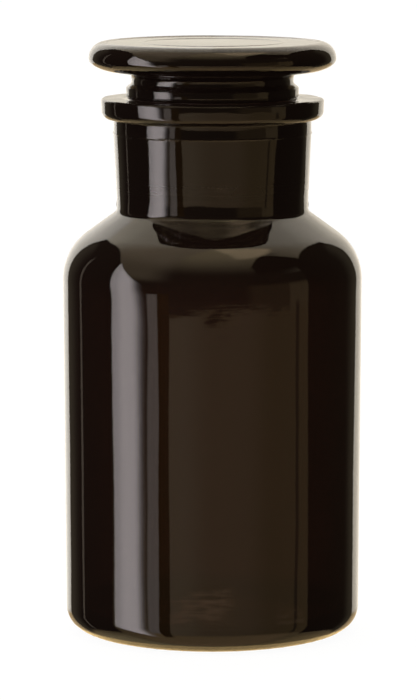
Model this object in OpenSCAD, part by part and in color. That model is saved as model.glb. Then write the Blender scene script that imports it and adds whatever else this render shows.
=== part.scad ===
// Wide-neck reagent bottle with a ground glass stopper.
// Two pieces of glass: the blown bottle, and the pressed stopper that seats in its ground mouth.
// The origin is the centre of the ring that the bottle stands on, and +Z runs up the axis.

/* [Body] */
// Outside diameter just above the heel
foot_d = 106.3; // [104:0.1:107]
// Outside diameter of the body, taken up to the corner of the shoulder
body_d = 108; // [107:0.1:110]
// Height of the corner that the shoulder is rounded from
shoulder_z = 138.4; // [130:0.1:144]
// Radius of the rounded shoulder
shoulder_r = 21.1; // [16:0.1:21.5]
// Slope of the straight cone between the shoulder and the neck, from level
shoulder_slope = 35.5; // [30:0.5:40]
// Thickness of the body wall
wall_t = 3; // [2:0.1:4]

/* [Base] */
// Radius of the heel, between the wall and the ring that the bottle stands on
heel_r = 9; // [6:0.1:12]
// Width of the ring that the bottle stands on
ring_w = 4.5; // [3:0.1:6]
// Height of the push-up inside that ring
push_up = 3; // [1:0.1:5]
// Thickness of the base
base_t = 5.5; // [4:0.1:8]

/* [Neck and flange] */
// Outside diameter at the root of the neck
neck_root_d = 68.8; // [67:0.1:70]
// Outside diameter under the flange
neck_d = 71.5; // [70:0.1:74]
// Radius where the neck runs out into the shoulder
neck_root_r = 2.2; // [1:0.1:3]
// Outside diameter of the flange
flange_d = 80.2; // [79:0.1:84]
// Height of the flange
flange_h = 7.5; // [6:0.1:10]
// Height of the mouth above the base
mouth_z = 192.9; // [188:0.1:200]

/* [Ground joint] */
// Diameter of the ground taper at the mouth
joint_d = 60; // [58:0.1:60.5]
// Loss of diameter for each millimetre of depth
joint_taper = 0.1; // [0.08:0.01:0.12]
// Depth of the ground taper in the neck
joint_depth = 34; // [28:0.5:36]
// Clearance on the radius between the plug and the ground mouth
joint_gap = 0.05; // [0.03:0.01:0.1]

/* [Stopper] */
// Diameter of the collar that stands above the mouth
collar_d = 62; // [61.5:0.1:66]
// Height of the collar
collar_h = 3.4; // [2.5:0.1:4]
// Diameter of the waist under the head
waist_d = 58.2; // [56:0.1:60]
// Height of the head's underside above the mouth
head_rise = 9.3; // [8:0.1:14]
// Diameter of the head
head_d = 88.8; // [80:0.1:96]
// Height of the head's widest line above its underside
head_low_h = 4.8; // [3:0.1:6]
// Height of the head's top above its widest line
head_high_h = 6.1; // [4:0.1:8]
// Thickness of the wall of the hollow plug
plug_t = 3.6; // [2.5:0.1:5]

/* [Hidden] */
$fn = 96;

// Colour of both pieces, a brown glass that is nearly black
amber = [0.13, 0.09, 0.06, 0.9];

// Steps that an arc is drawn in
fine = 12;
coarse = 6;

// Bottle: outside and inside radii at the levels that matter
foot_r = foot_d / 2;
body_r = body_d / 2;
neck_root = neck_root_d / 2;
neck_r = neck_d / 2;
flange_r = flange_d / 2;
flange_z = mouth_z - flange_h;
ring_out = foot_r - heel_r;
ring_in = ring_out - ring_w;
neck_root_z = shoulder_z + (body_r - neck_root) * tan(shoulder_slope);

// Ground taper: radius of the mouth at a height, and of the plug, which clears it by the gap
function mouth_at(z) = (joint_d - (mouth_z - z) * joint_taper) / 2;
function plug_at(z) = mouth_at(z) - joint_gap;
joint_low_z = mouth_z - joint_depth;
throat_r = mouth_at(joint_low_z);

// Rounding of small edges that the fire has softened
lip_soft = 0.6;
lip_under = 2.9;
inner_heel_r = 7;

// Stopper: levels, radii, and the relief on top of the head
collar_lift = 0.5;
collar_z = mouth_z + collar_lift;
collar_top_z = collar_z + collar_h;
collar_slope_h = 1.4;
head_z = mouth_z + head_rise;
rim_z = head_z + head_low_h;
top_z = rim_z + head_high_h;
head_r = head_d / 2;
waist_r = waist_d / 2;
waist_h = head_z - collar_top_z - collar_slope_h;
waist_low_r = min(2, 0.4 * waist_h);
waist_high_r = min(3, 0.65 * waist_h);
rim_low_w = 11.3;
rim_high_w = 5.9;
plug_low_z = joint_low_z + 0.5;
hollow_top_z = head_z + 1;
hollow_top_r = 5;
hollow_low_r = plug_at(plug_low_z) - plug_t;
hollow_draft = 1.2;
dish_drop = 0.3;
dish_z = top_z - dish_drop;
dish_edge_w = 0.9;
relief_r = 25;
relief_w = 1;
relief_h = 0.15;

function unit(v) = v / norm(v);
function flat(p) = [p[0], p[1]];

// The corner b of the path a, b, c, replaced by an arc of radius r
function bend(a, b, c, r, steps) =
    r == 0 ? [b] :
    let (
        u = unit(a - b),
        v = unit(c - b),
        half = acos(u * v) / 2,
        centre = b + unit(u + v) * r / sin(half),
        from = b + u * r / tan(half) - centre,
        to = b + v * r / tan(half) - centre,
        start = atan2(from[1], from[0]),
        turn = atan2(from[0] * to[1] - from[1] * to[0], from * to)
    )
    [for (i = [0 : steps])
        centre + r * [cos(start + turn * i / steps), sin(start + turn * i / steps)]];

// A path of [radius, height, corner radius], with each of its inner corners rounded
function softened(path) = [
    for (i = [0 : len(path) - 1])
        each (i == 0 || i == len(path) - 1)
            ? [flat(path[i])]
            : bend(flat(path[i - 1]), flat(path[i]), flat(path[i + 1]), path[i][2],
                   path[i][2] > inner_heel_r ? fine : coarse)
];

// The push-up: a smooth rise of height h from radius r to the axis, standing on level z
function rise(r, h, z) = [
    for (i = [0 : fine - 1])
        [r * i / fine, z + h * (1 + cos(180 * i / fine)) / 2]
];

// A quarter of an ellipse about [r, z], with half axes a and b, from one angle to another
function quarter(r, z, a, b, from, to) = [
    for (i = [0 : fine])
        [r + a * cos(from + (to - from) * i / fine), z + b * sin(from + (to - from) * i / fine)]
];

function reversed(path) = [for (i = [len(path) - 1 : -1 : 0]) path[i]];

// Outside of the bottle, from the ring that it stands on up to the edge of the mouth
bottle_outside = softened([
    [ring_in, 0, 0],
    [foot_r, 0, heel_r],
    [body_r, shoulder_z, shoulder_r],
    [neck_root, neck_root_z, neck_root_r],
    [neck_r, flange_z, lip_soft],
    [flange_r, flange_z, lip_under],
    [flange_r, mouth_z, lip_soft],
    [mouth_at(mouth_z) + lip_soft, mouth_z, 0],
]);

// Inside of the bottle, from the edge of the mouth down to the floor
bottle_inside = softened([
    [mouth_at(mouth_z) + lip_soft, mouth_z, 0],
    [mouth_at(mouth_z - lip_soft), mouth_z - lip_soft, 0],
    [throat_r, joint_low_z, 0],
    [throat_r + 0.4, joint_low_z - 0.4, 0],
    [throat_r + 0.4, neck_root_z - wall_t, 4],
    [body_r - wall_t, shoulder_z - wall_t, shoulder_r - wall_t],
    [foot_r - wall_t, base_t, inner_heel_r],
    [ring_in, base_t, 0],
]);

// Outside of the stopper, from the lower end of the plug up to the edge of the head's flat top
stopper_outside = softened([
    [hollow_low_r, plug_low_z, 0],
    [plug_at(plug_low_z), plug_low_z, 1.2],
    [plug_at(mouth_z), mouth_z, 0],
    [plug_at(mouth_z), collar_z, 0],
    [collar_d / 2, collar_z, 0.3],
    [collar_d / 2, collar_top_z, 0.8],
    [waist_r, collar_top_z + collar_slope_h, waist_low_r],
    [waist_r, head_z, waist_high_r],
    [head_r - rim_low_w, head_z, 0],
]);

rim = concat(
    quarter(head_r - rim_low_w, rim_z, rim_low_w, head_low_h, -90, 0),
    quarter(head_r - rim_high_w, rim_z, rim_high_w, head_high_h, 0, 90)
);

// The flat top of the head: a shallow dish with a plain raised ring in it
relief = softened([
    [head_r - rim_high_w - dish_edge_w, dish_z, 0],
    [relief_r + relief_w, dish_z, 0],
    [relief_r + relief_w / 2, dish_z + relief_h, 0],
    [relief_r - relief_w / 2, dish_z + relief_h, 0],
    [relief_r - relief_w, dish_z, 0],
    [0, dish_z, 0],
]);

// Inside of the hollow plug, from its top at the axis down to its open lower end
stopper_inside = softened([
    [0, hollow_top_z, 0],
    [hollow_low_r - hollow_draft, hollow_top_z, hollow_top_r],
    [hollow_low_r, plug_low_z, 0],
]);

module bottle() {
    color(amber)
        rotate_extrude()
            polygon(concat(
                rise(ring_in, push_up, 0),
                bottle_outside,
                bottle_inside,
                reversed(rise(ring_in, push_up, base_t))
            ));
}

module stopper() {
    color(amber)
        rotate_extrude()
            polygon(concat(stopper_outside, rim, relief, stopper_inside));
}

bottle();
stopper();
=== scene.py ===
"""Looks of a wide-neck reagent bottle in dark amber glass, with its ground glass stopper.

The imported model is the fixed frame. Each piece of glass is turned again here as a fine lathe
mesh, with the marks of its mould and the ripple of its fire-polished skin, and is dressed as
glass that is ground where the stopper seats. Sizes are in metres. The angles among the values are
in degrees, and the angle that a skin is asked for is in radians.
"""

import logging
import math
from collections.abc import Callable, Sequence
from dataclasses import dataclass, field
from enum import Enum

import bpy
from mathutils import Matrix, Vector, noise

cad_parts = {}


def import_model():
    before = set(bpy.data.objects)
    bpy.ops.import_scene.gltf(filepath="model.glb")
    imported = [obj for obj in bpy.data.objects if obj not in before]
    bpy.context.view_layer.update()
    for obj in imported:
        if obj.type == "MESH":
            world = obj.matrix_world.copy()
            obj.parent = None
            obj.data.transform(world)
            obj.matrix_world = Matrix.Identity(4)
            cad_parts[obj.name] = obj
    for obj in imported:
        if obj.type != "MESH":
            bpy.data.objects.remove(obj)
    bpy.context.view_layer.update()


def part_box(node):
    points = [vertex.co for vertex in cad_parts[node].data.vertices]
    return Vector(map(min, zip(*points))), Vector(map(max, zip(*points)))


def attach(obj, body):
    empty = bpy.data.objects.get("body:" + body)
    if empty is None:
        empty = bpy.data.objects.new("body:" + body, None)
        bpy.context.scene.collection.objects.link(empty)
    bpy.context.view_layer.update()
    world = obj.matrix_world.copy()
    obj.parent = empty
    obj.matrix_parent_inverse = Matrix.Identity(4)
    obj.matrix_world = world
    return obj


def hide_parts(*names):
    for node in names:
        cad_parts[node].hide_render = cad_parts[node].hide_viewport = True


LOG = logging.getLogger("reagent_bottle")
MM = 0.001
ON_AXIS = 0.001 * MM
SAME_SPOT = 0.0001 * MM

# An arc is drawn in steps no shorter than this, and in no fewer than this
SHORTEST_STEP = 0.12 * MM
FEWEST_STEPS = 4

Colour = tuple[float, float, float]
Span = tuple[float, float]
Point = tuple[float, float, float]
Socket = bpy.types.NodeSocket


# ---------------------------------------------------------------------------------------------
# Outlines
# ---------------------------------------------------------------------------------------------


class Face(Enum):
    """How a stretch of the glass was finished."""

    POLISHED = "polished"
    GROUND = "ground"
    STIPPLED = "stippled"


@dataclass(frozen=True)
class Corner:
    """A corner of a turned outline.

    Attributes:
        radius: Distance from the axis.
        height: Height above the table.
        bend: Radius that the corner is rounded to, or 0 for a sharp one.
        face: Finish of the stretch that starts here.
    """

    radius: float
    height: float
    bend: float = 0.0
    face: Face = Face.POLISHED


@dataclass(frozen=True)
class Ring:
    """One ring of a lathe mesh: its radius, its height and its finish."""

    radius: float
    height: float
    face: Face = Face.POLISHED


def smooth(x: float) -> float:
    """Return x held between 0 and 1, and eased at both ends."""
    x = min(1.0, max(0.0, x))
    return x * x * (3.0 - 2.0 * x)


def rounded(before: Corner, corner: Corner, after: Corner, turn_step: float) -> list[Ring]:
    """Replace a corner by an arc.

    Args:
        before: The corner before it on the outline.
        corner: The corner that is rounded.
        after: The corner after it on the outline.
        turn_step: Turn between two rings of a wide arc, in degrees. A small arc has fewer rings.

    Returns:
        The rings of the arc.
    """
    if corner.bend == 0.0:
        return [Ring(corner.radius, corner.height, corner.face)]
    centre = Vector((corner.radius, corner.height))
    back = (Vector((before.radius, before.height)) - centre).normalized()
    ahead = (Vector((after.radius, after.height)) - centre).normalized()
    half = math.acos(max(-1.0, min(1.0, back.dot(ahead)))) / 2
    middle = centre + (back + ahead).normalized() * (corner.bend / math.sin(half))
    first = centre + back * (corner.bend / math.tan(half)) - middle
    last = centre + ahead * (corner.bend / math.tan(half)) - middle
    start = math.atan2(first.y, first.x)
    turn = math.atan2(first.x * last.y - first.y * last.x, first.dot(last))
    by_turn = math.ceil(abs(math.degrees(turn)) / turn_step)
    by_length = math.ceil(abs(turn) * corner.bend / SHORTEST_STEP)
    steps = max(FEWEST_STEPS, min(by_turn, by_length))
    rings = []
    for i in range(steps + 1):
        angle = start + turn * i / steps
        rings.append(
            Ring(
                middle.x + corner.bend * math.cos(angle),
                middle.y + corner.bend * math.sin(angle),
                before.face if i < steps else corner.face,
            )
        )
    return rings


def softened(path: Sequence[Corner], turn_step: float) -> list[Ring]:
    """Round every inner corner of a path.

    Args:
        path: The corners, in order.
        turn_step: Largest turn between two rings, in degrees.

    Returns:
        The rings of the whole path.
    """
    rings = [Ring(path[0].radius, path[0].height, path[0].face)]
    for before, corner, after in zip(path, path[1:], path[2:]):
        rings += rounded(before, corner, after, turn_step)
    rings.append(Ring(path[-1].radius, path[-1].height, path[-1].face))
    return rings


def quarter(centre: Span, half_axes: Span, angles: Span, steps: int) -> list[Ring]:
    """Lay rings along a stretch of an ellipse.

    Args:
        centre: Radius and height of the ellipse's centre.
        half_axes: Its half axes, across and up.
        angles: Where the stretch starts and ends.
        steps: Number of steps along it.

    Returns:
        The rings.
    """
    rings = []
    for i in range(steps + 1):
        angle = math.radians(angles[0] + (angles[1] - angles[0]) * i / steps)
        radius = centre[0] + half_axes[0] * math.cos(angle)
        rings.append(Ring(radius, centre[1] + half_axes[1] * math.sin(angle)))
    return rings


def divided(rings: Sequence[Ring], longest: float) -> list[Ring]:
    """Divide the long straight runs of an outline.

    Args:
        rings: The outline.
        longest: Longest run that is left whole.

    Returns:
        The outline with rings added, and with rings that fall on each other dropped.
    """
    made = [rings[0]]
    for ring in rings[1:]:
        last = made[-1]
        run = math.hypot(ring.radius - last.radius, ring.height - last.height)
        if run < SAME_SPOT:
            made[-1] = Ring(ring.radius, ring.height, ring.face)
            continue
        steps = max(1, math.ceil(run / longest))
        for i in range(1, steps):
            share = i / steps
            made.append(
                Ring(
                    last.radius + (ring.radius - last.radius) * share,
                    last.height + (ring.height - last.height) * share,
                    last.face,
                )
            )
        made.append(ring)
    return made


def close_round(rings: Sequence[Ring], height: float, reach: float, step: float) -> list[Ring]:
    """Add close rings where an upright wall carries a narrow line.

    Args:
        rings: An outline, whose wall passes the height once.
        height: Height of the line.
        reach: How far above and below it the close rings go.
        step: Distance between them.

    Returns:
        The outline with the close rings in it.
    """
    made: list[Ring] = []
    for last, ring in zip(rings, rings[1:]):
        made.append(last)
        climb = ring.height - last.height
        if climb < SAME_SPOT:
            continue
        level = max(last.height, height - reach)
        while level < min(ring.height, height + reach):
            share = (level - last.height) / climb
            if 0.0 < share < 1.0:
                radius = last.radius + (ring.radius - last.radius) * share
                made.append(Ring(radius, level, last.face))
            level += step
    made.append(rings[-1])
    return made


# ---------------------------------------------------------------------------------------------
# Lathe meshes
# ---------------------------------------------------------------------------------------------

Relief = Callable[[float, Ring], float]


@dataclass(frozen=True)
class Ripple:
    """The slow unevenness of a glass skin that took its shape in a mould and then in the fire.

    Attributes:
        depth: Height of the swells.
        around: Length of a swell round the axis.
        along: Length of a swell along the axis.
        seed: Where in the noise the piece was cut from.
        finer: How many times shorter the second layer of swells is.
        finer_share: Height of that layer, as a share of the first.
    """

    depth: float
    around: float
    along: float
    seed: float
    finer: float = 2.3
    finer_share: float = 0.35

    def at(self, angle: float, ring: Ring) -> float:
        """Return the height of the skin at an angle round the axis, at a ring."""
        reach = ring.radius / self.around
        spot = Vector(
            (
                reach * math.cos(angle) + self.seed,
                reach * math.sin(angle) - self.seed,
                ring.height / self.along + 2.0 * self.seed,
            )
        )
        swell = noise.noise(spot) + self.finer_share * noise.noise(spot * self.finer)
        return self.depth * swell


@dataclass(frozen=True)
class Flash:
    """A small lump of glass that was squeezed out where two joints of the mould meet.

    Attributes:
        high: How far it stands out.
        half_wide: Half its width round the axis.
        half_tall: Half its height along the axis.
        flat: Share of its half width that is full height, before it falls away.
    """

    high: float
    half_wide: float
    half_tall: float
    flat: float = 0.4

    def at(self, across: float, along: float) -> float:
        """Return how far it stands out at a distance from its middle, across and along."""
        wide = 1.0 - smooth((across / self.half_wide - self.flat) / (1.0 - self.flat))
        tall = 1.0 - smooth((abs(along) / self.half_tall - self.flat) / (1.0 - self.flat))
        return self.high * wide * tall


@dataclass(frozen=True)
class Lathe:
    """Turns an outline into a closed mesh.

    Attributes:
        segments: Number of even steps round the axis.
        seams: Angles, in degrees, where closer steps take a narrow mould seam.
        seam_steps: Angles of those closer steps, either side of a seam.
        dense: How many times more steps the stippled rings have.
    """

    segments: int
    seams: tuple[float, ...] = ()
    seam_steps: tuple[float, ...] = (0.15, 0.35, 0.6, 0.9)
    dense: int = 4

    def angles(self) -> list[float]:
        """Return the angles of the mesh's meridians, in radians."""
        step = 360.0 / self.segments
        found = {round(i * step, 4) for i in range(self.segments)}
        for seam in self.seams:
            for offset in self.seam_steps:
                found |= {round((seam + side * offset) % 360.0, 4) for side in (-1, 1)}
        return [math.radians(a) for a in sorted(found)]

    def closer(self, angles: Sequence[float]) -> list[float]:
        """Return the meridians of the stippled rings: each of the others, and more between."""
        found = []
        for here, there in zip(angles, [*angles[1:], angles[0] + 2.0 * math.pi]):
            found += [here + (there - here) * i / self.dense for i in range(self.dense)]
        return found

    def strip(self, lower: Sequence[int], upper: Sequence[int]) -> list[tuple[int, ...]]:
        """Join two neighbouring rings with faces.

        Args:
            lower: The points of the first ring, of which there is one on the axis.
            upper: The points of the second ring.

        Returns:
            The faces, as the numbers of their points.
        """
        steps = min(len(ring) for ring in (lower, upper) if len(ring) > 1)
        faces = []
        for k in range(steps):
            sides = []
            for ring in (lower, upper):
                each = max(1, len(ring) // steps)
                count = each + 1 if len(ring) > 1 else 1
                sides.append([ring[(k * each + i) % len(ring)] for i in range(count)])
            faces.append(tuple(sides[0] + sides[1][::-1]))
        return faces

    def turn(self, name: str, rings: Sequence[Ring], relief: Relief) -> bpy.types.Object:
        """Build the mesh.

        Args:
            name: Name of the piece.
            rings: An outline whose ends lie on the axis, with the glass on its left.
            relief: Height of the skin at an angle and a ring, outward from the glass.

        Returns:
            The piece, with the ground stretches marked on its points.
        """
        few = self.angles()
        many = self.closer(few)
        points: list[Vector] = []
        marks: list[Face] = []
        circles: list[list[int]] = []
        for i, ring in enumerate(rings):
            start = len(points)
            if ring.radius < ON_AXIS:
                points.append(Vector((0.0, 0.0, ring.height)))
            else:
                before, after = rings[i - 1], rings[(i + 1) % len(rings)]
                run = Vector((after.radius - before.radius, after.height - before.height))
                run.normalize()
                for angle in many if ring.face is Face.STIPPLED else few:
                    lift = relief(angle, ring)
                    radius = ring.radius + run.y * lift
                    across, away = radius * math.cos(angle), radius * math.sin(angle)
                    points.append(Vector((across, away, ring.height - run.x * lift)))
            marks += [ring.face] * (len(points) - start)
            circles.append(list(range(start, len(points))))
        faces: list[tuple[int, ...]] = []
        for lower, upper in zip(circles, circles[1:]):
            faces += self.strip(lower, upper)
        mesh = bpy.data.meshes.new(name)
        mesh.from_pydata(points, [], faces)
        mesh.validate()
        mesh.polygons.foreach_set("use_smooth", [True] * len(mesh.polygons))
        layer = mesh.attributes.new(Face.GROUND.value, "FLOAT", "POINT")
        layer.data.foreach_set("value", [float(mark is Face.GROUND) for mark in marks])
        mesh.update()
        piece = bpy.data.objects.new(name, mesh)
        bpy.context.scene.collection.objects.link(piece)
        return piece


# ---------------------------------------------------------------------------------------------
# Finishes
# ---------------------------------------------------------------------------------------------


class Blend(Enum):
    """What a Mix node blends: its type, and the numbers of its inputs and of its output."""

    NUMBERS = ("FLOAT", (0, 2, 3), 0)
    COLOURS = ("RGBA", (0, 6, 7), 2)


class Nodes:
    """A short hand for adding and joining the nodes of one tree."""

    def __init__(self, tree: bpy.types.NodeTree) -> None:
        """Start on an empty tree."""
        self.tree = tree
        tree.nodes.clear()

    def add(self, kind: str, **settings: object) -> bpy.types.Node:
        """Add a node.

        Args:
            kind: Blender's name of the node.
            **settings: Its settings, by name.

        Returns:
            The node.
        """
        node = self.tree.nodes.new(kind)
        for key, value in settings.items():
            setattr(node, key, value)
        return node

    def join(self, source: Socket, target: Socket) -> None:
        """Link an output to an input."""
        self.tree.links.new(source, target)

    def give(self, socket: Socket, value: object) -> None:
        """Link an input where the value is an output, and set it otherwise."""
        if isinstance(value, Socket):
            self.join(value, socket)
        else:
            socket.default_value = value

    def feed(self, node: bpy.types.Node, *values: object) -> bpy.types.Node:
        """Give a node's first inputs, in order, a link or a value each, and return the node."""
        for socket, value in zip(node.inputs, values):
            self.give(socket, value)
        return node

    def maths(self, operation: str, *values: object) -> Socket:
        """Return the outcome of a Math node."""
        return self.feed(self.add("ShaderNodeMath", operation=operation), *values).outputs[0]

    def blend(self, kind: Blend, share: object, first: object, second: object) -> Socket:
        """Blend two numbers or two colours.

        Args:
            kind: What is blended.
            share: Share of the second, from 0 to 1.
            first: The first, as a link or a value.
            second: The second, as a link or a value.

        Returns:
            The outcome.
        """
        data_type, inputs, output = kind.value
        node = self.add("ShaderNodeMix", data_type=data_type)
        for number, value in zip(inputs, (share, first, second)):
            self.give(node.inputs[number], value)
        return node.outputs[output]

    def eased(self, value: Socket, middle: float, soft: float) -> Socket:
        """Return a soft step from 0 to 1 at a middle value, as wide as soft."""
        node = self.add("ShaderNodeMapRange", interpolation_type="SMOOTHSTEP")
        return self.feed(node, value, middle - soft / 2, middle + soft / 2, 0.0, 1.0).outputs[0]

    def ranged(self, value: Socket, start: float, end: float, span: Span) -> Socket:
        """Return a value of the span, which is run through as value goes from start to end."""
        return self.feed(self.add("ShaderNodeMapRange"), value, start, end, *span).outputs[0]

    def noise(self, place: Socket, scale: float, detail: float) -> Socket:
        """Return the value of a Noise Texture node."""
        node = self.add("ShaderNodeTexNoise")
        self.join(place, node.inputs["Vector"])
        node.inputs["Scale"].default_value = scale
        node.inputs["Detail"].default_value = detail
        return node.outputs[0]


@dataclass(frozen=True)
class Cloud:
    """Soft patches that a finish drifts with.

    Attributes:
        scale: How many of them there are in a metre.
        detail: How many finer layers they have.
        starts: Height of the noise at which a patch starts.
        full: Height of the noise at which it is full.
    """

    scale: float
    detail: float
    starts: float = 0.0
    full: float = 1.0

    def between(self, nodes: Nodes, place: Socket, span: Span) -> Socket:
        """Return a value that drifts from one end of a span to the other, in full patches."""
        height = nodes.noise(place, self.scale, self.detail)
        return nodes.ranged(height, self.starts, self.full, span)


@dataclass(frozen=True)
class AmberGlass:
    """Dark amber glass, clear to the skin where it is polished and frosted where it is ground.

    Attributes:
        name: Name of the material.
        tint: Colour of the glass at its skin.
        bends_light: Index of refraction.
        clear: Share of the light that goes in through the polished skin, and through the ground.
        painted_glow: Faint even light that the glass gives off itself, a painted glow over the dark
            glass.
        absorbs: Colour that the glass lets through.
        density: How fast the rest is lost, for each metre.
        polished: Roughness of the fire-polished skin, and of its dullest places.
        ground: Roughness of the ground skin, and of its dullest places.
        peel: Size and depth of the fine ripple of the polished skin.
        brushed: Size and depth of the level marks that the mould left in it.
        grain: Size and depth of the ground skin's grain.
        drift: How much the streaks of the melt lighten and darken the tint.
        streaks: The streaks of the melt.
        dull: The dullest places of the polished skin.
        worn: The dullest places of the ground skin.
        level: Scale of the level marks across the piece, both ways, and along its axis.
    """

    name: str
    tint: Colour = (0.60, 0.40, 0.36)
    bends_light: float = 1.5
    clear: Span = (0.988, 0.80)
    # Painted glow: a faint even light that the glass gives off of its own
    painted_glow: Colour = (0.0026, 0.0014, 0.0010)
    absorbs: Colour = (0.23, 0.155, 0.075)
    density: float = 1000.0
    polished: Span = (0.008, 0.03)
    ground: Span = (0.42, 0.52)
    peel: Span = (5.0 * MM, 0.010 * MM)
    brushed: Span = (1.0 * MM, 0.003 * MM)
    grain: Span = (0.18 * MM, 0.02 * MM)
    drift: float = 0.12
    streaks: Cloud = Cloud(22.0, 3.0)
    dull: Cloud = Cloud(60.0, 4.0, 0.45, 0.75)
    worn: Cloud = Cloud(900.0, 2.0, 0.3, 0.7)
    level: Point = (0.12, 0.12, 1.0)

    def material(self) -> bpy.types.Material:
        """Build the material."""
        made = bpy.data.materials.new(self.name)
        made.use_nodes = True
        made.diffuse_color = (*self.tint, 1.0)
        nodes = Nodes(made.node_tree)
        place = nodes.add("ShaderNodeTexCoord").outputs["Object"]
        ground = nodes.add("ShaderNodeAttribute", attribute_name=Face.GROUND.value).outputs["Fac"]
        skin = nodes.add("ShaderNodeBsdfPrincipled")
        skin.inputs["IOR"].default_value = self.bends_light
        nodes.join(nodes.ranged(ground, 0.0, 1.0, self.clear), skin.inputs["Transmission Weight"])
        # Painted glow: the skin gives off a faint even light, so the dark glass never goes fully
        # black
        skin.inputs["Emission Color"].default_value = (*self.painted_glow, 1.0)
        skin.inputs["Emission Strength"].default_value = 1.0
        nodes.join(self._colour(nodes, place), skin.inputs["Base Color"])
        nodes.join(self._roughness(nodes, place, ground), skin.inputs["Roughness"])
        nodes.join(self._bump(nodes, place, ground), skin.inputs["Normal"])
        body = nodes.add("ShaderNodeVolumeAbsorption")
        body.inputs["Color"].default_value = (*self.absorbs, 1.0)
        body.inputs["Density"].default_value = self.density
        out = nodes.add("ShaderNodeOutputMaterial")
        nodes.join(skin.outputs["BSDF"], out.inputs["Surface"])
        nodes.join(body.outputs["Volume"], out.inputs["Volume"])
        return made

    def _colour(self, nodes: Nodes, place: Socket) -> Socket:
        """Return the colour at the skin, which drifts a little with the streaks of the melt.

        Args:
            nodes: The material's nodes.
            place: The point on the piece.

        Returns:
            The colour.
        """
        streak = self.streaks.between(nodes, place, (0.0, 1.0))
        darker = (*((1.0 - self.drift) * c for c in self.tint), 1.0)
        lighter = (*((1.0 + self.drift) * c for c in self.tint), 1.0)
        return nodes.blend(Blend.COLOURS, streak, darker, lighter)

    def _roughness(self, nodes: Nodes, place: Socket, ground: Socket) -> Socket:
        """Return the roughness of the skin.

        Args:
            nodes: The material's nodes.
            place: The point on the piece.
            ground: 1 where the skin is ground.

        Returns:
            The roughness.
        """
        polished = self.dull.between(nodes, place, self.polished)
        frosted = self.worn.between(nodes, place, self.ground)
        return nodes.blend(Blend.NUMBERS, ground, polished, frosted)

    def _bump(self, nodes: Nodes, place: Socket, ground: Socket) -> Socket:
        """Return the fine relief of the skin: its ripple, the level marks and the ground grain.

        Args:
            nodes: The material's nodes.
            place: The point on the piece.
            ground: 1 where the skin is ground.

        Returns:
            The normal.
        """
        drawn_out = nodes.add("ShaderNodeVectorMath", operation="MULTIPLY")
        marks = nodes.feed(drawn_out, place, self.level).outputs[0]
        frosted = nodes.maths("MULTIPLY", nodes.noise(place, 1.0 / self.grain[0], 1.0), ground)
        layers = (
            (nodes.noise(place, 1.0 / self.peel[0], 1.0), self.peel[1]),
            (nodes.noise(marks, 1.0 / self.brushed[0], 2.0), self.brushed[1]),
            (frosted, self.grain[1]),
        )
        normal: Socket | None = None
        for height, depth in layers:
            bump = nodes.add("ShaderNodeBump")
            bump.inputs["Strength"].default_value = 1.0
            bump.inputs["Distance"].default_value = depth
            nodes.join(height, bump.inputs["Height"])
            if normal is not None:
                nodes.join(normal, bump.inputs["Normal"])
            normal = bump.outputs["Normal"]
        return normal


@dataclass(frozen=True)
class Glow:
    """A finish that gives off an even light, with a matt ground under it where it has one.

    Attributes:
        name: Name of the material.
        colour: Colour of the light.
        strength: Its strength.
        matt: Colour of the ground under it.
    """

    name: str
    colour: Colour
    strength: float
    matt: Colour | None = None

    def material(self) -> bpy.types.Material:
        """Build the material, whose light isn't sampled the way that a lamp's is."""
        made = bpy.data.materials.new(self.name)
        made.use_nodes = True
        made.cycles.emission_sampling = "NONE"
        nodes = Nodes(made.node_tree)
        glow = nodes.add("ShaderNodeEmission")
        nodes.feed(glow, (*self.colour, 1.0), self.strength)
        surface = glow.outputs[0]
        if self.matt is not None:
            ground = nodes.feed(nodes.add("ShaderNodeBsdfDiffuse"), (*self.matt, 1.0))
            both = nodes.add("ShaderNodeAddShader")
            nodes.join(surface, both.inputs[0])
            nodes.join(ground.outputs[0], both.inputs[1])
            surface = both.outputs[0]
        nodes.join(surface, nodes.add("ShaderNodeOutputMaterial").inputs["Surface"])
        return made


# ---------------------------------------------------------------------------------------------
# The two pieces of glass
# ---------------------------------------------------------------------------------------------


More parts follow.
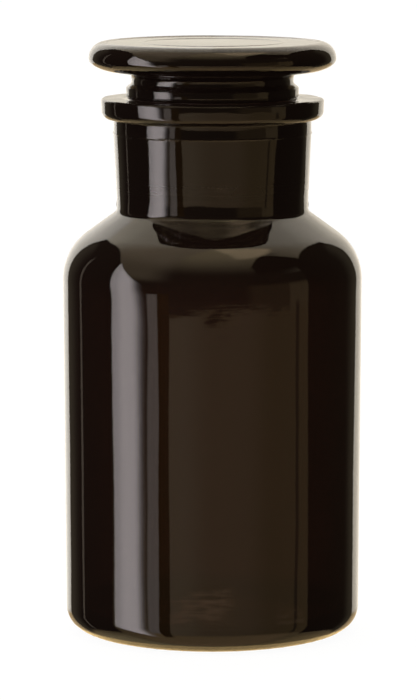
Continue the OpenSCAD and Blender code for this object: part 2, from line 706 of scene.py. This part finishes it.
@dataclass
class Bottle:
    """The blown bottle: push-up, bearing ring, body, shoulder, neck and flange."""

    node: str = "bottle"
    slot: str = "bottle_glass"
    glass: AmberGlass = AmberGlass("bottle_amber_glass")

    # Base, body and shoulder
    wall: float = 3.0 * MM
    foot_in: float = 0.85 * MM
    heel: float = 9.0 * MM
    ring_wide: float = 4.5 * MM
    push_up: float = 3.0 * MM
    base: float = 5.5 * MM
    shoulder_height: float = 138.4 * MM
    shoulder_bend: float = 21.1 * MM
    shoulder_slope: float = 35.5
    corner_out: float = 0.073 * MM

    # Neck and flange
    neck_root: float = 34.4 * MM
    neck_root_bend: float = 2.2 * MM
    neck_upright: float = 4.6 * MM
    neck_upright_bend: float = 40.0 * MM
    neck_top: float = 35.6 * MM
    flange: float = 40.1 * MM
    flange_high: float = 7.5 * MM
    flange_draft: float = 0.24 * MM
    flange_under_bend: float = 2.9 * MM
    flange_edge: float = 1.1 * MM
    edge_soft: float = 0.6 * MM

    # Ground joint, and the inside under it
    joint: float = 30.0 * MM
    joint_deep: float = 34.0 * MM
    joint_taper: float = 0.05
    joint_relief: float = 0.4 * MM
    throat_bend: float = 4.0 * MM
    floor_bend: float = 7.0 * MM

    # Swells of the skin. The spans give the height at which the shoulder's start, the height above
    # the shoulder's corner at which the neck's start, and how much higher they are full
    body_ripple: Ripple = Ripple(0.08 * MM, 16.0 * MM, 70.0 * MM, 3.1)
    shoulder_ripple: Ripple = Ripple(0.10 * MM, 26.0 * MM, 22.0 * MM, 5.3)
    neck_ripple: Ripple = Ripple(0.25 * MM, 18.0 * MM, 35.0 * MM, 7.7)
    inner_ripple: Ripple = Ripple(0.35 * MM, 30.0 * MM, 45.0 * MM, 9.2)
    highest_swell: float = 0.8
    swells_from_foot: float = 6.0 * MM
    shoulder_swells: Span = (110.0 * MM, 18.0 * MM)
    neck_swells: Span = (4.0 * MM, 8.0 * MM)

    # Seams of the mould, and the line that its neck ring left
    seam_high: float = 0.05 * MM
    seam_half_wide: float = 0.35 * MM
    root_flash: Flash = Flash(0.16 * MM, 0.9 * MM, 1.3 * MM)
    split_flash: Flash = Flash(0.14 * MM, 0.9 * MM, 0.6 * MM)
    split_below_flange: float = 5.0 * MM
    split_half_wide: float = 0.45 * MM
    split_high: float = 0.15 * MM

    # Worn dots that the bottle stands on
    dots_high: float = 0.2 * MM
    dots_top: float = 3.2 * MM
    dots_pitch: float = 1.3 * MM
    dots_row: float = 0.87
    dots_fade_low: float = 0.05 * MM
    dots_fade_high: float = 0.9 * MM
    dots_left: float = 0.6
    dots_least: float = 0.1
    dots_wear: Ripple = Ripple(0.8, 2.2 * MM, 2.2 * MM, 4.4)

    # Fineness of the mesh, and how far a ring may stray and still count as under or inside
    lathe: Lathe = Lathe(segments=256, seams=(0.0, 180.0))
    outside_turn: float = 3.0
    outside_run: float = 2.8 * MM
    inside_turn: float = 8.0
    inside_run: float = 10.0 * MM
    under_steps: int = 12
    floor_steps: int = 10
    root_step: float = 0.35 * MM
    split_reach: float = 0.8 * MM
    split_step: float = 0.16 * MM
    dots_step: float = 0.4
    underside_margin: float = 0.1 * MM
    inside_margin: float = 0.2 * MM
    within_neck: float = 4.5 * MM

    # Place and outer size, from the frame
    low: Vector = field(init=False)
    high: Vector = field(init=False)

    def __post_init__(self) -> None:
        """Take the piece's place and outer size from the frame."""
        self.low, self.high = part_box(self.node)

    @property
    def body(self) -> float:
        """Radius that the body would have at the shoulder's corner, if the corner were sharp."""
        return min(self.high.x, -self.low.x) + self.corner_out

    @property
    def foot(self) -> float:
        """Radius of the body just above the heel."""
        return self.body - self.foot_in

    @property
    def mouth(self) -> float:
        """Height of the mouth."""
        return self.high.z

    @property
    def ring_in(self) -> float:
        """Inner radius of the bearing ring."""
        return self.foot - self.heel - self.ring_wide

    @property
    def neck_foot(self) -> float:
        """Height where the neck stands on the shoulder."""
        climb = math.tan(math.radians(self.shoulder_slope))
        return self.shoulder_height + (self.body - self.neck_root) * climb

    @property
    def split(self) -> float:
        """Height of the line that the neck ring of the mould left on the neck."""
        return self.mouth - self.flange_high - self.split_below_flange

    @property
    def root(self) -> float:
        """Height of the joint of the mould at the root of the neck."""
        return self.neck_foot + self.neck_root_bend

    def bore(self, height: float) -> float:
        """Return the radius of the ground taper at a height."""
        return self.joint - (self.mouth - height) * self.joint_taper

    def rise(self, level: float, steps: int, outward: bool) -> list[Ring]:
        """Lay the rings of the push-up.

        Args:
            level: Height that it rises from.
            steps: Number of steps from the axis to its edge.
            outward: Whether the rings run from the axis outward.

        Returns:
            The rings.
        """
        rings = []
        for i in range(steps + 1):
            share = i / steps
            height = level + self.push_up * (1.0 + math.cos(math.pi * share)) / 2.0
            rings.append(Ring(self.ring_in * share, height))
        return rings if outward else rings[::-1]

    def outside(self) -> list[Ring]:
        """Lay the outside, from the bearing ring up to the edge of the mouth."""
        flange_foot = self.mouth - self.flange_high
        path = [
            Corner(self.ring_in, 0.0),
            Corner(self.foot, 0.0, self.heel),
            Corner(self.body, self.shoulder_height, self.shoulder_bend),
            Corner(self.neck_root, self.neck_foot, self.neck_root_bend),
            Corner(self.neck_root, self.neck_foot + self.neck_upright, self.neck_upright_bend),
            Corner(self.neck_top, self.split, self.neck_upright_bend),
            Corner(self.neck_top, flange_foot, self.edge_soft),
            Corner(self.flange - self.flange_draft, flange_foot, self.flange_under_bend),
            Corner(self.flange, self.mouth, self.flange_edge),
            Corner(self.bore(self.mouth) + self.edge_soft, self.mouth),
        ]
        rings = divided(softened(path, self.outside_turn), self.outside_run)
        rings = close_round(rings, self.split, self.split_reach, self.split_step)
        return close_round(rings, self.root, self.root_flash.half_tall, self.root_step)

    def bearing(self, rings: Sequence[Ring]) -> list[Ring]:
        """Give the lowest stretch of the heel close rings, and mark it as stippled.

        Args:
            rings: The outside, from the bearing ring upward.

        Returns:
            The outline.
        """
        count = next(i for i, ring in enumerate(rings) if ring.height > self.dots_top)
        close = divided(rings[1 : count + 1], self.dots_step * self.dots_pitch)
        marked = [Ring(ring.radius, ring.height, Face.STIPPLED) for ring in close[1:-1]]
        return [*rings[:2], *marked, *rings[count:]]

    def inside(self) -> list[Ring]:
        """Lay the inside, from the edge of the mouth down to the edge of the push-up."""
        joint_low = self.mouth - self.joint_deep
        throat = self.bore(joint_low)
        eased, shoulder = throat + self.joint_relief, self.shoulder_bend - self.wall
        joint_top = self.mouth - self.edge_soft
        path = [
            Corner(self.bore(self.mouth) + self.edge_soft, self.mouth),
            Corner(self.bore(joint_top), joint_top, face=Face.GROUND),
            Corner(throat, joint_low),
            Corner(eased, joint_low - self.joint_relief),
            Corner(eased, self.neck_foot - self.wall, self.throat_bend),
            Corner(self.body - self.wall, self.shoulder_height - self.wall, shoulder),
            Corner(self.foot - self.wall, self.base, self.floor_bend),
            Corner(self.ring_in, self.base),
        ]
        return divided(softened(path, self.inside_turn), self.inside_run)

    def outline(self) -> list[Ring]:
        """Lay the whole outline, from the underside at the axis round to the floor at the axis."""
        under = self.rise(0.0, self.under_steps, True)
        floor = self.rise(self.base, self.floor_steps, False)
        whole = under[:-1] + self.bearing(self.outside()) + self.inside() + floor
        return divided(whole, self.mouth)

    def dots(self, angle: float, ring: Ring) -> float:
        """Return the height of the rows of dots that the bottle stands on.

        Args:
            angle: Angle round the axis, in radians.
            ring: The ring.

        Returns:
            The height of the skin, which is nothing at the top of a dot.
        """
        count = round(2.0 * math.pi * (self.foot - self.heel) / self.dots_pitch)
        step_out = ring.radius - self.ring_in + ring.height
        row = step_out / (self.dots_row * self.dots_pitch)
        shift = 0.5 * (math.floor(row) % 2)
        across = math.cos(2.0 * math.pi * (angle * count / (2.0 * math.pi) + shift))
        dot = math.sin(math.pi * (row % 1.0)) ** 2 * (0.5 + 0.5 * across)
        left = min(1.0, max(self.dots_least, self.dots_left + self.dots_wear.at(angle, ring)))
        return self.dots_high * (dot * left - 1.0)

    def skin(self, angle: float, ring: Ring) -> float:
        """Return how far the skin stands off its outline at an angle and a ring.

        Args:
            angle: Angle round the axis, in radians.
            ring: The ring.

        Returns:
            The height of the skin.
        """
        if ring.face is Face.STIPPLED:
            below_top = smooth((self.dots_top - ring.height) / self.dots_fade_high)
            off_table = smooth(ring.height / self.dots_fade_low)
            return self.dots(angle, ring) * below_top * off_table
        if ring.face is Face.GROUND or self._is_under(ring):
            return 0.0
        if self._is_inside(ring):
            return self.inner_ripple.at(angle, ring)
        across = abs(math.sin(angle)) * ring.radius
        lift = self._swells(angle, ring) + self._mould_lines(across, ring.height)
        lift -= self.highest_swell * self.body_ripple.depth + self.seam_high
        return lift * smooth((ring.height - self.dots_top) / self.swells_from_foot)

    def _swells(self, angle: float, ring: Ring) -> float:
        """Return the height of the outer skin's swells, which change from body to neck."""
        over_corner = ring.height - self.shoulder_height
        on_neck = smooth((over_corner - self.neck_swells[0]) / self.neck_swells[1])
        on_shoulder = smooth((ring.height - self.shoulder_swells[0]) / self.shoulder_swells[1])
        lift = self.body_ripple.at(angle, ring) * (1.0 - on_neck)
        lift += self.shoulder_ripple.at(angle, ring) * on_shoulder * (1.0 - on_neck)
        return lift + self.neck_ripple.at(angle, ring) * on_neck

    def _mould_lines(self, across: float, height: float) -> float:
        """Return how far the seams, the line on the neck and the flashes stand out.

        Args:
            across: Distance from the nearer seam, round the piece.
            height: Height on the piece.

        Returns:
            The height of the lines.
        """
        lift = self.root_flash.at(across, height - self.root)
        lift += self.split_flash.at(across, height - self.split)
        lift += self.split_high * (1.0 - smooth(abs(height - self.split) / self.split_half_wide))
        if height < self.split:
            lift += self.seam_high * (1.0 - smooth(across / self.seam_half_wide))
        return lift

    def _is_under(self, ring: Ring) -> bool:
        """Return whether a ring is on the push-up or on the bearing ring's inner edge."""
        return ring.radius < self.ring_in + self.underside_margin and ring.height < self.base

    def _is_inside(self, ring: Ring) -> bool:
        """Return whether a ring is on the inside of the neck, the body or the shoulder."""
        if ring.radius < self.bore(ring.height) + self.within_neck:
            return True
        climb = math.tan(math.radians(self.shoulder_slope))
        cone = self.neck_foot - (ring.radius - self.neck_root) * climb
        within_wall = ring.radius < self.foot - self.wall + self.inside_margin
        within_height = self.base <= ring.height < self.shoulder_height
        return within_wall and within_height and ring.height < cone - self.wall / 2

    def build(self) -> bpy.types.Object:
        """Turn the bottle and dress it."""
        piece = self.lathe.turn("amber_bottle", self.outline(), self.skin)
        piece.data.materials.append(self.glass.material())
        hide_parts(self.node)
        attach(piece, "bottle")
        return piece


@dataclass
class Stopper:
    """The pressed stopper: a flat head, a waist, a collar and a hollow ground plug."""

    node: str = "stopper"
    slot: str = "stopper_glass"
    glass: AmberGlass = AmberGlass("stopper_amber_glass")

    # Ground plug and its hollow
    joint: float = 30.0 * MM
    joint_gap: float = 0.05 * MM
    joint_taper: float = 0.05
    plug_wall: float = 3.6 * MM
    plug_edge: float = 1.2 * MM
    plug_inner_edge: float = 0.5 * MM
    hollow_draft: float = 1.2 * MM
    hollow_bend: float = 5.0 * MM
    hollow_over: float = 1.0 * MM

    # Collar and waist
    collar: float = 31.0 * MM
    collar_lift: float = 0.5 * MM
    collar_high: float = 3.4 * MM
    collar_slope: float = 1.4 * MM
    collar_low_bend: float = 0.3 * MM
    collar_high_bend: float = 0.8 * MM
    waist: float = 29.1 * MM
    waist_low_bend: float = 1.6 * MM
    waist_high_bend: float = 2.6 * MM

    # Head, with the dish and the plain ring on its top
    head_rise: float = 9.3 * MM
    rim_low_high: float = 4.8 * MM
    rim_low_wide: float = 11.3 * MM
    rim_high_wide: float = 5.9 * MM
    dish: float = 0.3 * MM
    dish_edge: float = 0.9 * MM
    dish_bend: float = 1.0 * MM
    relief: float = 25.0 * MM
    relief_wide: float = 1.0 * MM
    relief_high: float = 0.15 * MM
    small_bend: float = 0.2 * MM

    # Skin, and fineness of the mesh
    ripple: Ripple = Ripple(0.06 * MM, 20.0 * MM, 30.0 * MM, 11.3)
    lathe: Lathe = Lathe(segments=320)
    rim_steps: int = 26
    shank_turn: float = 4.0
    head_turn: float = 12.0
    longest_run: float = 2.2 * MM

    # Height of the mouth, place and outer size, from the frame
    mouth: float = field(init=False)
    low: Vector = field(init=False)
    high: Vector = field(init=False)

    def __post_init__(self) -> None:
        """Take the piece's place and outer size from the frame, and the mouth from the bottle."""
        self.low, self.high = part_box(self.node)
        self.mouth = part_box("bottle")[1].z

    def plug(self, height: float) -> float:
        """Return the radius of the ground plug at a height."""
        return self.joint - self.joint_gap - (self.mouth - height) * self.joint_taper

    def shank(self) -> list[Ring]:
        """Lay the hollow, the ground plug, the collar and the waist, up to the head's underside."""
        under = self.mouth + self.head_rise
        collar_foot = self.mouth + self.collar_lift
        collar_top = collar_foot + self.collar_high
        hollow = self.plug(self.low.z) - self.plug_wall
        roof = under + self.hollow_over
        path = [
            Corner(0.0, roof),
            Corner(hollow - self.hollow_draft, roof, self.hollow_bend),
            Corner(hollow, self.low.z, self.plug_inner_edge),
            Corner(self.plug(self.low.z), self.low.z, self.plug_edge, Face.GROUND),
            Corner(self.plug(self.mouth), self.mouth, self.small_bend),
            Corner(self.plug(self.mouth), collar_foot, self.small_bend),
            Corner(self.collar, collar_foot, self.collar_low_bend),
            Corner(self.collar, collar_top, self.collar_high_bend),
            Corner(self.waist, collar_top + self.collar_slope, self.waist_low_bend),
            Corner(self.waist, under, self.waist_high_bend),
            Corner(self.high.x - self.rim_low_wide, under),
        ]
        return softened(path, self.shank_turn)

    def head(self) -> list[Ring]:
        """Lay the rim of the head, and its flat top with the shallow dish and the plain ring."""
        head, top = self.high.x, self.high.z
        widest = self.mouth + self.head_rise + self.rim_low_high
        floor = top - self.dish
        low_centre = (head - self.rim_low_wide, widest)
        high_centre = (head - self.rim_high_wide, widest)
        low_axes = (self.rim_low_wide, self.rim_low_high)
        high_axes = (self.rim_high_wide, top - widest)
        rim = quarter(low_centre, low_axes, (-90, 0), self.rim_steps)
        rim += quarter(high_centre, high_axes, (0, 90), self.rim_steps)
        half, raised = self.relief_wide / 2, floor + self.relief_high
        dish = [
            Corner(head - self.rim_high_wide, top),
            Corner(head - self.rim_high_wide - self.dish_edge, floor, self.dish_bend),
            Corner(self.relief + self.relief_wide, floor, self.small_bend),
            Corner(self.relief + half, raised, self.small_bend),
            Corner(self.relief - half, raised, self.small_bend),
            Corner(self.relief - self.relief_wide, floor, self.small_bend),
            Corner(0.0, floor),
        ]
        return rim + softened(dish, self.head_turn)

    def skin(self, angle: float, ring: Ring) -> float:
        """Return how far the skin stands off its outline at an angle and a ring."""
        if ring.face is Face.GROUND or ring.height < self.mouth + self.collar_lift:
            return 0.0
        return self.ripple.at(angle, ring) - self.ripple.depth

    def build(self) -> bpy.types.Object:
        """Turn the stopper and dress it."""
        outline = divided(self.shank() + self.head(), self.longest_run)
        piece = self.lathe.turn("amber_stopper", outline, self.skin)
        piece.data.materials.append(self.glass.material())
        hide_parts(self.node)
        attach(piece, "stopper")
        return piece


# ---------------------------------------------------------------------------------------------
# The studio
# ---------------------------------------------------------------------------------------------


@dataclass(frozen=True)
class Card:
    """One lit panel, dark panel or stretch of table that the glass mirrors.

    Azimuth 0 is the side that the camera stands on, and it grows towards +X.

    Attributes:
        name: What the panel is.
        azimuth: Where it starts and ends.
        elevation: Where it starts and ends above the horizon.
        colour: Its brightness.
        sides: Width of its soft left and right edges.
        ends: Width of its soft lower and upper edges.
        lean: How far it climbs for each degree of azimuth.
        slant: How far it shifts sideways for each degree of elevation.
        bow: How far it drops towards its sides, for each square degree.
    """

    name: str
    azimuth: Span
    elevation: Span
    colour: Colour
    sides: Span = (2.0, 2.0)
    ends: Span = (2.0, 2.0)
    lean: float = 0.0
    slant: float = 0.0
    bow: float = 0.0


@dataclass
class Studio:
    """The pale table, the panels round the bottle, and the camera."""

    white: Colour = (1.0, 1.0, 1.0)

    # What the glass mirrors: each card lies over those before it
    cards: tuple[Card, ...] = (
        Card("room", (-200, 200), (-100, 100), (0.045, 0.036, 0.024)),
        Card("far_table", (-200, 200), (-100, -12), (0.55, 0.40, 0.21), ends=(2, 12)),
        Card("table_left", (-150, -80), (-100, -42), (1.00, 0.78, 0.42), (8, 20), (2, 16)),
        Card("table_right", (84, 150), (-100, -42), (0.84, 0.60, 0.28), (20, 8), (2, 16)),
        Card("near_table", (-70, 70), (-100, -20), (0.88, 0.59, 0.30), (30, 30), (2, 8)),
        Card("front_right", (28, 79.5), (-8.5, 13), (0.17, 0.12, 0.06), (8, 1.2), (0.4, 7)),
        Card("right_bar", (63, 79.5), (-8.5, 12), (0.37, 0.27, 0.14), (2, 1.2), (0.4, 6)),
        Card(
            "table_front", (-33.5, 79.5), (-30, -7.80), (0.36, 0.25, 0.12),
            (1.2, 1.2), (6, 0.2), bow=-0.0001,
        ),
        Card(
            "table_middle", (-33.5, 36), (-30, -7.80), (0.47, 0.33, 0.19),
            (1.2, 26), (6, 0.2), bow=-0.00018,
        ),
        Card(
            "table_inner", (-33.5, -12), (-30, -7.72), (0.62, 0.47, 0.30),
            (1.2, 26), (6, 0.2), bow=-0.0002,
        ),
        Card("table_line", (67.5, 70.5), (-30, -7), (0.12, 0.09, 0.05), (1.2, 1.2), (4, 1)),
        Card(
            "floor_glow", (-42, 14), (-12.25, -12.0), (0.95, 0.62, 0.39),
            (8, 16), (0.1, 0.03), bow=0.00007,
        ),
        Card("floor_gleam", (52, 77), (-12.4, -12.15), (0.55, 0.37, 0.21), (8, 2), (0.1, 0.05)),
        Card("overhead", (-80, 70), (53, 100), (1.27, 1.01, 0.60), (30, 30), (46, 2)),
        Card("left_wall", (-200, -45), (19, 100), (0.62, 0.49, 0.32), (2, 30), (12, 2)),
        Card("left_upper", (-200, -45), (48, 100), (1.01, 0.80, 0.535), (2, 26), (26, 2)),
        Card("right_wall", (84, 200), (28, 100), (0.85, 0.70, 0.47), (50, 2), (4, 2)),
        Card("right_upper", (34, 112), (63, 100), (2.4, 1.85, 1.15), (14, 20), (5, 2)),
        Card("high_backdrop_left", (-200, -128), (28, 82), (1.50, 1.36, 1.10), (2, 56), (12, 10)),
        Card("high_backdrop_right", (128, 200), (28, 82), (1.30, 1.18, 0.98), (56, 2), (12, 10)),
        Card(
            "side_light", (-84.6, -59.8), (-25, 24), (3.3, 3.0, 3.0),
            (1.5, 14), (3, 2), lean=-0.75, slant=-0.14,
        ),
        Card(
            "side_heart", (-77.5, -61.3), (-25, 22), (5.0, 4.5, 4.5),
            (11, 9), (4, 3), lean=-0.75, slant=-0.14,
        ),
        Card("second_strip", (-51.5, -42.6), (-26, -4), (1.05, 0.90, 0.80), (2, 1.6), (6, 2)),
        Card("strip_gap", (-42.6, -33.5), (-40, -3), (0.10, 0.055, 0.01), (1.2, 1.2), (6, 2)),
        Card(
            "left_flag", (-149, -86), (-34, 45), (0.015, 0.012, 0.009),
            (2, 1.5), (6, 1.6), slant=-0.1, bow=0.012,
        ),
        Card("left_dusk", (-149, -133), (-34, 29), (0.10, 0.085, 0.06), (2, 20), (6, 6), bow=0.02),
        Card("left_line", (-122.4, -119.6), (-32, 24), (0.42, 0.35, 0.28), (1.2, 1.2), (8, 8)),
        Card(
            "right_flag", (80, 145.5), (-34, 47), (0.022, 0.018, 0.012),
            (1.5, 2), (5, 1.6), bow=0.012,
        ),
        Card(
            "right_dusk", (132, 145.5), (-34, 31), (0.10, 0.085, 0.055), (16, 2), (5, 6), bow=0.02,
        ),
        Card("right_blob", (37, 95), (32, 62), (0.02, 0.015, 0.01), (3, 3), (10, 1.6), bow=0.018),
        Card("behind_low", (150, 210), (-75, -12), (0.85, 0.62, 0.34), (6, 6), (16, 4)),
        Card("behind_low_left", (-210, -150), (-75, -12), (0.85, 0.62, 0.34), (6, 6), (16, 4)),
        Card("backdrop_left", (-200, -149), (-13, 46), (1.57, 1.47, 1.31), (2, 2.5), (4, 6)),
        Card("backdrop_right", (145.5, 200), (-13, 46), (1.30, 1.18, 0.98), (2.5, 2), (4, 6)),
        Card("behind_right", (172, 210), (-3, 9), (0.98, 0.90, 0.76), (10, 2), (3, 6)),
        Card("behind_left", (-210, -172), (-3, 9), (0.98, 0.90, 0.76), (2, 10), (3, 6)),
    )

    # The camera, which looks down by the tilt
    lens: float = 205.7
    sensor: float = 36.0
    distance: float = 1.432
    aim_height: float = 101.7 * MM
    aim_side: float = -1.4 * MM
    tilt: float = 7.73
    nearest: float = 0.05
    farthest: float = 50.0

    # The table, and the ring of light on it
    table_radius: float = 12.0
    foot_light: Span = (45.5 * MM, 50.8 * MM)
    foot_light_lift: float = 0.02 * MM
    round_steps: int = 96
    table_glow: Glow = Glow("pale_table", (1.0, 1.0, 1.0), 0.965, (0.08, 0.09, 0.11))
    # Painted pool of gold light, laid on the table under the heel
    gold_glow: Glow = Glow("gold_light", (1.0, 0.70, 0.31), 1.5)

    def build(self) -> None:
        """Set up the world, the table and the camera."""
        self._world()
        self._table()
        self._foot_light()
        self._camera()
        bpy.context.scene.view_settings.view_transform = "Standard"

    def _place(self, nodes: Nodes, card: Card, azimuth: Socket, elevation: Socket) -> Socket:
        """Return 1 in the directions that a card covers, and 0 elsewhere.

        Args:
            nodes: The world's nodes.
            card: The card.
            azimuth: Azimuth of the direction.
            elevation: Elevation of the direction.

        Returns:
            The share.
        """
        off = nodes.maths("SUBTRACT", azimuth, sum(card.azimuth) / 2)
        side, height = azimuth, elevation
        if card.slant:
            side = nodes.maths("MULTIPLY_ADD", elevation, -card.slant, azimuth)
        if card.lean:
            height = nodes.maths("MULTIPLY_ADD", off, -card.lean, elevation)
        top = height
        if card.bow:
            drop = nodes.maths("MULTIPLY", nodes.maths("MULTIPLY", off, off), card.bow)
            top = nodes.maths("ADD", height, drop)
        past_left = nodes.eased(side, card.azimuth[0], card.sides[0])
        past_right = nodes.eased(side, card.azimuth[1], card.sides[1])
        over_foot = nodes.eased(height, card.elevation[0], card.ends[0])
        over_top = nodes.eased(top, card.elevation[1], card.ends[1])
        wide = nodes.maths("SUBTRACT", past_left, past_right)
        tall = nodes.maths("MULTIPLY", over_foot, nodes.maths("SUBTRACT", 1.0, over_top))
        return nodes.maths("MULTIPLY", wide, tall)

    def _world(self) -> None:
        """Build the world: white behind the bottle, and the cards for everything it mirrors."""
        world = bpy.data.worlds.new("studio")
        bpy.context.scene.world = world
        world.use_nodes = True
        nodes = Nodes(world.node_tree)
        way = nodes.add("ShaderNodeSeparateXYZ")
        nodes.join(nodes.add("ShaderNodeTexCoord").outputs["Generated"], way.inputs[0])
        x, y, z = way.outputs
        across = nodes.maths("ARCTAN2", x, nodes.maths("MULTIPLY", y, -1.0))
        azimuth = nodes.maths("DEGREES", across)
        elevation = nodes.maths("DEGREES", nodes.maths("ARCSINE", z))
        seen: object = (*self.cards[0].colour, 1.0)
        for card in self.cards:
            share = self._place(nodes, card, azimuth, elevation)
            seen = nodes.blend(Blend.COLOURS, share, seen, (*card.colour, 1.0))
        studio = nodes.add("ShaderNodeBackground")
        nodes.join(seen, studio.inputs["Color"])
        behind = nodes.add("ShaderNodeBackground")
        behind.inputs["Color"].default_value = (*self.white, 1.0)
        choice = nodes.add("ShaderNodeMixShader")
        nodes.join(nodes.add("ShaderNodeLightPath").outputs["Is Camera Ray"], choice.inputs[0])
        nodes.join(studio.outputs[0], choice.inputs[1])
        nodes.join(behind.outputs[0], choice.inputs[2])
        nodes.join(choice.outputs[0], nodes.add("ShaderNodeOutputWorld").inputs[0])

    def _circle(self, radius: float, height: float) -> list[Point]:
        """Return the points of a circle about the axis."""
        turn = 2.0 * math.pi / self.round_steps
        return [
            (radius * math.cos(i * turn), radius * math.sin(i * turn), height)
            for i in range(self.round_steps)
        ]

    def _sheet(
        self, name: str, points: Sequence[Point], faces: Sequence[tuple[int, ...]], glow: Glow
    ) -> bpy.types.Object:
        """Lay a flat sheet of the studio.

        Args:
            name: Name of the sheet.
            points: Its points.
            faces: Its faces, as the numbers of their points.
            glow: Its finish.

        Returns:
            The sheet, which is no piece of the bottle and doesn't light what is matt.
        """
        mesh = bpy.data.meshes.new(name)
        mesh.from_pydata(points, [], faces)
        mesh.materials.append(glow.material())
        sheet = bpy.data.objects.new(name, mesh)
        bpy.context.scene.collection.objects.link(sheet)
        sheet.visible_diffuse = False
        return sheet

    def _table(self) -> None:
        """Lay the pale table that the bottle stands on."""
        rim = self._circle(self.table_radius, 0.0)
        table = self._sheet("table", rim, [tuple(range(self.round_steps))], self.table_glow)
        table.visible_glossy = False

    def _foot_light(self) -> None:
        """Lay a glowing ring under the heel, a painted pool of the gold light that the glass
        gathers.
        """
        inner, outer = (self._circle(radius, self.foot_light_lift) for radius in self.foot_light)
        count = self.round_steps
        faces = []
        for here in range(count):
            there = (here + 1) % count
            faces.append((here, count + here, count + there, there))
        light = self._sheet("foot_light", inner + outer, faces, self.gold_glow)
        light.visible_camera = False
        light.visible_shadow = False

    def _camera(self) -> None:
        """Stand the camera in front of the bottle, a little above it."""
        data = bpy.data.cameras.new("camera")
        data.lens = self.lens
        data.sensor_width = self.sensor
        data.clip_start = self.nearest
        data.clip_end = self.farthest
        camera = bpy.data.objects.new("camera", data)
        tilt = math.radians(self.tilt)
        height = self.aim_height + self.distance * math.tan(tilt)
        camera.location = (self.aim_side, -self.distance, height)
        camera.rotation_euler = (math.pi / 2 - tilt, 0.0, 0.0)
        bpy.context.scene.collection.objects.link(camera)
        bpy.context.scene.camera = camera


def main() -> None:
    """Build the studio and the two pieces of glass, in order."""
    logging.basicConfig(level=logging.INFO, format="%(name)s: %(message)s")
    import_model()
    Studio().build()
    for maker in (Bottle(), Stopper()):
        piece = maker.build()
        mesh = piece.data
        mesh.calc_loop_triangles()
        LOG.info("built %s: %d triangles", piece.name, len(mesh.loop_triangles))


if __name__ == "__main__":
    main()
